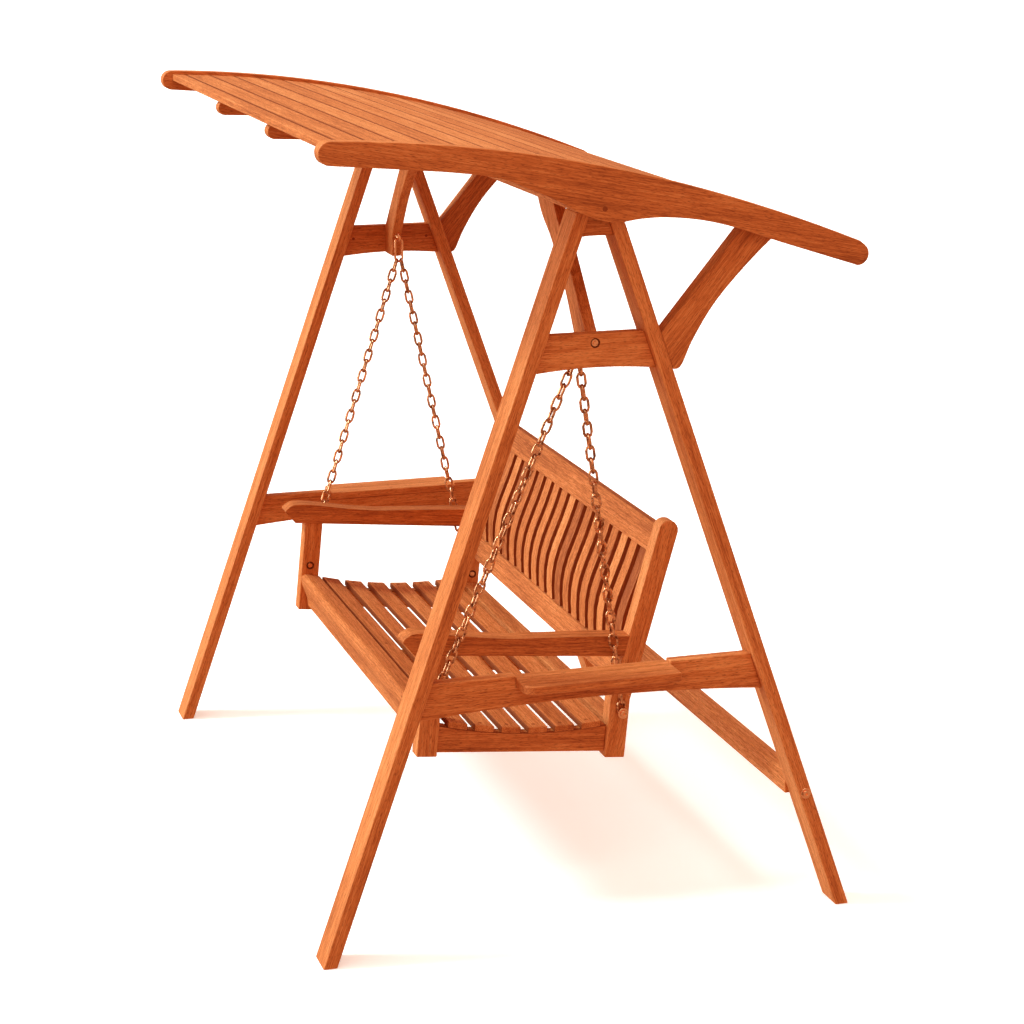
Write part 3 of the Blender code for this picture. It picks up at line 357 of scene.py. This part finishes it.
def makeBoard(node, facts):
    bm = copyOf(node)
    roundEdges(bm, facts["round"])
    bm.normal_update()
    # Painted shade: the side rails' eased top edges under the slat ends, and the seat slats' front and rear
    # faces in the gaps, are darkened.
    if "topPaintedShade" in facts:
        paintShade(bm, lambda face, eased: face.normal.z > 0.2 and eased, facts["topPaintedShade"])
    if "gapPaintedShade" in facts:
        paintShade(bm, lambda face, eased: abs(face.normal.y) > facts["gapShadeSlope"], facts["gapPaintedShade"])
    stem, _, word = node.rpartition("_")
    if stem in boltIn:
        low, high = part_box(boltIn[stem] + "_" + word)
        bolt = Vector(((low.y + high.y) / 2, (low.z + high.z) / 2))

        # Painted shade in the sunk hole round the bolt.
        def sunk(face, eased):
            centre = face.calc_center_median()
            return (Vector((centre.y, centre.z)) - bolt).length < sunkHoleShade["reach"] and \
                face.calc_area() < sunkHoleShade["largest"]
        paintShade(bm, sunk, sunkHoleShade["tone"])
    grain = Vector(facts["grain"])
    if node.endswith("left"):
        grain.x = -grain.x
    name = node.replace("_", " ").title().replace(" ", "")
    finishPiece(name[0].lower() + name[1:], bm, teak(node, grain, facts.get("tone")), bodyOf[node],
                [node])


for stem, facts in boards.items():
    for _, word in sides:
        makeBoard(stem + "_" + word, facts)
for node, facts in crossBoards.items():
    makeBoard(node, facts)
print("boards done")


# The gap values paint shade on the slats' front and rear faces, in the gaps between slats.
seatSlat = {"round": 0.0030, "grain": (1, 0, 0), "tones": (-0.05, 0.02, -0.07, 0.0, -0.09, -0.03),
            "gapPaintedShade": -0.60, "gapShadeSlope": 0.35}


def makeSeatSlats(facts):
    for number, tone in enumerate(facts["tones"], 1):
        makeBoard("seat_slat_%d" % number, dict(facts, tone=tone))


makeSeatSlats(seatSlat)


# The side value paints shade on the slats' side faces.
backSlat = {"round": 0.0022, "count": 18, "width": 0.045, "grain": (0, 0.18, 1), "tones": (-0.30, 0.22),
            "sidePaintedShade": -0.45}


def makeBackSlats(facts):
    bm = copyOf("backrest_slats")
    roundEdges(bm, facts["round"], least=0.004)
    low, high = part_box("back_top_rail")
    gap = (high.x - low.x - facts["count"] * facts["width"]) / (facts["count"] + 1)
    pitch = facts["width"] + gap
    first = low.x + pitch - facts["width"] / 2
    toneSlats(bm, "backSlats", lambda at: round((at.x - first) / pitch), facts["tones"])
    bm.normal_update()
    # Painted shade on the slats' side faces, in the gaps between them.
    paintShade(bm, lambda face, eased: abs(face.normal.x) > 0.9, facts["sidePaintedShade"])
    finishPiece("backSlats", bm, teak("backrest_slats", facts["grain"]), "swing", ["backrest_slats"])


makeBackSlats(backSlat)


# The joint value is painted shade in the joints between roof slats and on the tongues.
roofSlat = {"count": 18, "firstWidth": 0.038, "width": 0.0710, "gap": 0.0025, "thickness": 0.018,
            "within": 0.0012, "round": 0.0022, "shrink": 0.0014, "tones": (-0.10, 0.10), "jointPaintedShade": -0.75}
roofTongue = {"thickness": 0.003, "rise": 0.0024, "lap": 0.0045, "inset": 0.002}


def makeRoof(facts):
    # Eighteen slats laid on the ribs' curve, each a straight board.
    corners = [v.co for v in frame["nodes"]["canopy_deck"].data.vertices if v.co.x > 0]
    low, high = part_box("canopy_deck")

    def topAt(y):
        return max(c.z for c in corners if abs(c.y - y) < facts["within"])

    def addPlank(bm, middle, slope, size):
        matrix = Matrix.Translation(middle) @ slope @ Matrix.Diagonal((*size, 1))
        bmesh.ops.create_cube(bm, size=1.0, matrix=matrix)

    length = high.x - low.x
    bm = bmesh.new()
    tongues = bmesh.new()
    starts = []
    start = low.y
    for number in range(facts["count"]):
        starts.append(start)
        width = facts["firstWidth"] if number == 0 else facts["width"]
        end = start + width
        first, last = Vector((0, start, topAt(start))), Vector((0, end, topAt(end)))
        run = last - first
        slope = Matrix.Rotation(math.atan2(run.z, run.y), 4, "X")
        middle = (first + last) / 2 + slope.to_3x3() @ Vector((0, 0, -facts["thickness"] / 2))
        addPlank(bm, middle, slope, (length, run.length - 2 * facts["shrink"], facts["thickness"]))
        if number < facts["count"] - 1:
            # The tongue that closes the joint to the next slat from below.
            drop = facts["thickness"] - roofTongue["rise"]
            middle = last + slope.to_3x3() @ Vector((0, facts["gap"] / 2, -drop))
            addPlank(tongues, middle, slope, (length - 2 * roofTongue["inset"],
                                              facts["gap"] + 2 * roofTongue["lap"], roofTongue["thickness"]))
        start = end + facts["gap"]
    roundEdges(bm, facts["round"])
    toneSlats(bm, "roofSlats", lambda at: sum(at.y > y for y in starts), facts["tones"])
    bm.normal_update()

    def inJoint(face, eased):
        # The long edges between two slats, but not the roof's own front and rear edge: these get painted
        # shade.
        margin = facts["width"] / 4
        inside = starts[0] + margin < face.calc_center_median().y < start - margin
        return inside and (eased and abs(face.normal.x) < 0.5 or abs(face.normal.y) > 0.60)

    paintShade(bm, inJoint, facts["jointPaintedShade"])
    finishPiece("roofSlats", bm, teak("roof", (1, 0, 0)), "frame", ["canopy_deck"])
    # The tongues seen through the joints carry the same painted shade.
    finishPiece("roofTongues", tongues, teak("tongues", (1, 0, 0), facts["jointPaintedShade"]), "frame")


makeRoof(roofSlat)


def makePlugs():
    for _, word in sides:
        bm = copyOf("canopy_plug_" + word)
        finishPiece("canopyPlug" + word.title(), bm, teak("plug" + word, (0, 0, 1), -0.55), "frame",
                    ["canopy_plug_" + word])


makePlugs()
print("slats and plugs done")


# Chain, made link by link
chainLook = {
    "links": 30,
    "wire": 0.0036,
    "width": 0.0265,
    "turns": 4,
    "around": 6,
    "standOff": 0.0055,      # from the post to the middle of the chain
    "spread": 0.0062,        # the upper ends to either side of the shackle's middle
    "rise": 0.0105,          # the upper ends over the shackle's lowest point
    "overBolt": 0.0072,      # how far the last link reaches past the bolt's middle
}


def makeLinkMesh(span, half, wire, facts):
    # An oval link of round wire: two half turns, span apart, joined by straight sides.
    bm = bmesh.new()
    place = Matrix.Translation((span / 2, half, 0)) @ Matrix.Rotation(math.pi / 2, 4, "Y")
    ring = bmesh.ops.create_circle(bm, segments=facts["around"], radius=wire, matrix=place)
    edges = list({e for v in ring["verts"] for e in v.link_edges})
    for centre, run in ((span / 2, -span), (-span / 2, span)):
        turned = bmesh.ops.spin(bm, geom=edges, axis=(0, 0, -1), cent=(centre, 0, 0), angle=math.pi,
                                steps=facts["turns"])
        edges = [g for g in turned["geom_last"] if isinstance(g, bmesh.types.BMEdge)]
        pushed = bmesh.ops.extrude_edge_only(bm, edges=edges)["geom"]
        verts = [g for g in pushed if isinstance(g, bmesh.types.BMVert)]
        bmesh.ops.translate(bm, verts=verts, vec=(run, 0, 0))
        edges = [g for g in pushed if isinstance(g, bmesh.types.BMEdge)]
    bmesh.ops.remove_doubles(bm, verts=bm.verts, dist=1e-5)
    bmesh.ops.recalc_face_normals(bm, faces=bm.faces)
    mesh = bpy.data.meshes.new("link")
    bm.to_mesh(mesh)
    bm.free()
    return mesh


def makeChain(name, top, bottom, facts, node):
    # Links alternate: the first lies across the frame and the last runs round the seat bolt.
    along = (bottom - top).normalized()
    across = Vector((0, 1, 0)).cross(along).normalized()
    deep = along.cross(across)
    wire = facts["wire"]
    pitch = ((bottom - top).length - 2 * wire) / facts["links"]
    half = facts["width"] / 2 - wire
    link = makeLinkMesh(pitch + 2 * wire - 2 * half, half, wire, facts)
    bm = bmesh.new()
    for number in range(facts["links"]):
        wide = across if number % 2 == 0 else deep
        other = along.cross(wide)
        middle = top + along * (wire + pitch * (number + 0.5))
        turn = Matrix((along, wide, other)).transposed().to_4x4()
        copy = bmesh.new()
        copy.from_mesh(link)
        copy.transform(Matrix.Translation(middle) @ turn)
        piece = bpy.data.meshes.new("copy")
        copy.to_mesh(piece)
        copy.free()
        bm.from_mesh(piece)
        bpy.data.meshes.remove(piece)
    bpy.data.meshes.remove(link)
    bmesh.ops.recalc_face_normals(bm, faces=bm.faces)
    finishPiece(name, bm, chainMetal, "swing", [node], sharp=80, weighted=False)


def middleOf(node):
    low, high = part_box(node)
    return (low + high) / 2


def makeChains(facts):
    for side, word in sides:
        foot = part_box("shackle_" + word)[0].z
        for corner, way in (("front", -1), ("rear", 1)):
            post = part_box("%s_post_%s" % (corner, word))
            bolt = middleOf("chain_%s_bolt_%s" % (corner, word))
            bolt.x = (post[1].x if side > 0 else post[0].x) + side * facts["standOff"]
            top = Vector((middleOf("shackle_" + word).x, way * facts["spread"], foot + facts["rise"]))
            run = (bolt - top).normalized()
            makeChain("chain" + corner.title() + word.title(), top, bolt + run * facts["overBolt"], facts,
                      "chain_%s_%s" % (corner, word))


makeChains(chainLook)
print("chains done")


def turnOut(bm, profile, centre, side, sides=28):
    # Turns a profile of (distance along X, radius) about an axis along X through the centre.
    verts = [bm.verts.new((side * along, radius, 0)) for along, radius in profile]
    edges = [bm.edges.new(pair) for pair in zip(verts, verts[1:])]
    bmesh.ops.spin(bm, geom=verts + edges, axis=(1, 0, 0), cent=(0, 0, 0), angle=math.tau, steps=sides,
                   use_merge=True, use_duplicate=False)
    bmesh.ops.remove_doubles(bm, verts=bm.verts, dist=1e-6)
    bmesh.ops.translate(bm, verts=bm.verts, vec=centre)
    bmesh.ops.recalc_face_normals(bm, faces=bm.faces)


# Round heads with a washer under them and a socket sunk in the middle: distance outward, radius
headShape = {
    "washer": [(0.0, 0.0140), (0.0017, 0.0140), (0.0025, 0.0132), (0.0025, 0.0092)],
    "dome": [(0.0018, 0.0086), (0.0052, 0.0084), (0.0064, 0.0072), (0.0066, 0.0052)],
    "socket": [(0.0060, 0.0036), (0.0024, 0.0034), (0.0024, 0.0)],
    "height": 0.0066,
}
seatBolt = {"shank": 0.0040, "nut": 0.0075, "nutFace": 0.0068, "nutEase": 0.0008, "nutDepth": 0.0077}
stretcherBolt = {"shank": 0.0050}


def headProfile(face):
    outline = headShape["washer"] + headShape["dome"] + headShape["socket"]
    return [(face + along, radius) for along, radius in outline]


def makeBolt(node, name, side, shank, nut):
    # The end inside the wood, given by nut as (distance, radius), then the shank and the head.
    low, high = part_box(node)
    outer, inner = (high.x, low.x) if side > 0 else (-low.x, -high.x)
    face = outer - headShape["height"]
    profile = [(inner + along, radius) for along, radius in nut]
    profile += [(face, shank)] + headProfile(face)
    bm = bmesh.new()
    turnOut(bm, profile, (0, (low.y + high.y) / 2, (low.z + high.z) / 2), side)
    finishPiece(name, bm, boltMetal, bodyOf[node], [node], sharp=35, weighted=False)


def makeHardware():
    nut = [(0.0, 0.0), (0.0, seatBolt["nutFace"]), (seatBolt["nutEase"], seatBolt["nut"]),
           (seatBolt["nutDepth"], seatBolt["nut"]), (seatBolt["nutDepth"], seatBolt["shank"])]
    plain = [(0.0, 0.0), (0.0, stretcherBolt["shank"])]
    for side, word in sides:
        for node in ("shackle_", "eye_bolt_"):
            bm = copyOf(node + word)
            finishPiece(node.replace("_", "") + word.title(), bm, boltMetal, bodyOf[node + word],
                        [node + word], sharp=35, weighted=False)
        for corner in ("front", "rear"):
            makeBolt("chain_%s_bolt_%s" % (corner, word), "chainBolt" + corner.title() + word.title(), side,
                     seatBolt["shank"], nut)
        makeBolt("stretcher_bolt_" + word, "stretcherBolt" + word.title(), side, stretcherBolt["shank"],
                 plain)


makeHardware()


# Dowel ends on the upper crossbars' inner faces, and plugs over the seat slats' screws
dowel = {"radius": 0.0042, "proud": 0.0004, "sunk": 0.006, "tone": -0.70, "sides": 14,
         "rows": (-0.115, 0.115), "drop": 0.038}
plug = {"radius": 0.0050, "proud": 0.0004, "sunk": 0.005, "tone": -0.42, "sides": 16,
        "rows": (-0.675, 0.0, 0.675), "reach": 0.014}


def addPin(bm, place, along, facts):
    # A short round pin whose end stands a hair proud of the wood.
    length = facts["sunk"] + facts["proud"]
    turn = Vector((0, 0, 1)).rotation_difference(Vector(along)).to_matrix().to_4x4()
    middle = Vector(place) + Vector(along) * (facts["proud"] - length / 2)
    bmesh.ops.create_cone(bm, cap_ends=True, segments=facts["sides"], radius1=facts["radius"],
                          radius2=facts["radius"], depth=length, matrix=Matrix.Translation(middle) @ turn)


def makePins():
    dowels, plugs = bmesh.new(), bmesh.new()
    for side, word in sides:
        low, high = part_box("upper_crossbar_" + word)
        inner = low.x if side > 0 else high.x
        for y in dowel["rows"]:
            addPin(dowels, (inner, y, high.z - dowel["drop"]), (-side, 0, 0), dowel)
    finishPiece("crossbarDowels", dowels, teak("dowels", (1, 0, 0), dowel["tone"]), "frame", sharp=30,
                weighted=False)
    for number in range(1, len(seatSlat["tones"]) + 1):
        node = "seat_slat_%d" % number
        bm = copyOf(node)
        bm.normal_update()
        middle = middleOf(node).y

        def offCentre(face):
            return abs(face.calc_center_median().y - middle)
        upper = [f for f in bm.faces if f.normal.z > 0.9 and offCentre(f) < plug["reach"]]
        face = min(upper, key=offCentre)
        centre = face.calc_center_median()
        for x in plug["rows"]:
            addPin(plugs, (x, centre.y, centre.z), tuple(face.normal), plug)
        bm.free()
    finishPiece("slatPlugs", plugs, teak("slatPlugs", (1, 0, 0), plug["tone"]), "swing", sharp=30,
                weighted=False)


makePins()
print("hardware done")


# Floor, light and camera. The bright floor doesn't light the wood from below, which would wash its sides
# out, and only the camera sees the white dome that makes the background white from every side.
floorLook = {"reach": 90, "drop": 0.0005, "colour": (0.93, 0.92, 0.91, 1), "roughness": 0.9, "shine": 0.1,
             "glow": (0.46, 0.46, 0.42, 1), "strength": 1.0}
domeLook = {"radius": 88, "colour": (0, 0, 0, 1), "roughness": 0.5, "shine": 0.0, "glow": (1, 1, 1, 1),
            "strength": 1.05}


def stageShape(name, bm, look):
    mesh = bpy.data.meshes.new(name)
    bm.to_mesh(mesh)
    bm.free()
    material = bpy.data.materials.new(name + "Finish")
    material.use_nodes = True
    shader = material.node_tree.nodes["Principled BSDF"]
    shader.inputs["Base Color"].default_value = look["colour"]
    shader.inputs["Roughness"].default_value = look["roughness"]
    shader.inputs["Specular IOR Level"].default_value = look["shine"]
    shader.inputs["Emission Color"].default_value = look["glow"]
    shader.inputs["Emission Strength"].default_value = look["strength"]
    mesh.materials.append(material)
    shape = bpy.data.objects.new(name, mesh)
    bpy.context.scene.collection.objects.link(shape)
    shape.visible_diffuse = shape.visible_glossy = False
    return shape


def makeStage():
    bm = bmesh.new()
    bmesh.ops.create_grid(bm, x_segments=1, y_segments=1, size=floorLook["reach"])
    bmesh.ops.translate(bm, verts=bm.verts, vec=(0, 0, -floorLook["drop"]))
    stageShape("floor", bm, floorLook)
    bm = bmesh.new()
    bmesh.ops.create_icosphere(bm, subdivisions=4, radius=domeLook["radius"])
    dome = stageShape("surround", bm, domeLook)
    dome.visible_shadow = dome.visible_transmission = False


def aim(thing, place, target):
    thing.location = place
    thing.rotation_euler = (Vector(target) - Vector(place)).to_track_quat("-Z", "Y").to_euler()


lamps = {
    "key": {"place": (-2.0, -6.8, 7.0), "spread": 14, "power": 2.45, "colour": (0.66, 0.91, 1.0)},
    "front": {"place": (-1.6, -8.0, 1.5), "spread": 30, "power": 1.95, "colour": (0.74, 0.93, 1.0)},
    "top": {"place": (0.3, -1.2, 9.0), "spread": 55, "power": 1.7, "colour": (0.70, 0.90, 0.95)},
    "fill": {"place": (7.0, -1.0, 3.0), "spread": 60, "power": 0.35, "colour": (1.0, 0.55, 0.34)},
}
sky = {"colour": (1.0, 0.56, 0.36, 1), "strength": 0.60}


def makeLight():
    for name, facts in lamps.items():
        lamp = bpy.data.lights.new(name, "SUN")
        lamp.angle = math.radians(facts["spread"])
        lamp.energy = facts["power"]
        lamp.color = facts["colour"]
        light = bpy.data.objects.new(name, lamp)
        bpy.context.scene.collection.objects.link(light)
        aim(light, facts["place"], (0, 0, 0))
    world = bpy.data.worlds.new("studio")
    bpy.context.scene.world = world
    world.use_nodes = True
    background = world.node_tree.nodes["Background"]
    background.inputs["Color"].default_value = sky["colour"]
    background.inputs["Strength"].default_value = sky["strength"]


viewing = {"place": (6.591, -1.945, 2.598), "back": (0.9347, -0.2897, 0.2061), "lens": 90.0,
           "sensor": 36.0, "shiftY": -0.109, "sees": 300.0}


def makeCamera(facts):
    camera = bpy.data.cameras.new("camera")
    camera.lens = facts["lens"]
    camera.sensor_width = facts["sensor"]
    camera.shift_y = facts["shiftY"]
    camera.clip_end = facts["sees"]
    made = bpy.data.objects.new("camera", camera)
    bpy.context.scene.collection.objects.link(made)
    made.location = facts["place"]
    made.rotation_euler = Vector(facts["back"]).to_track_quat("Z", "Y").to_euler()
    bpy.context.scene.camera = made


makeStage()
makeLight()
makeCamera(viewing)
bpy.context.scene.view_settings.view_transform = "Standard"
print("stage done")
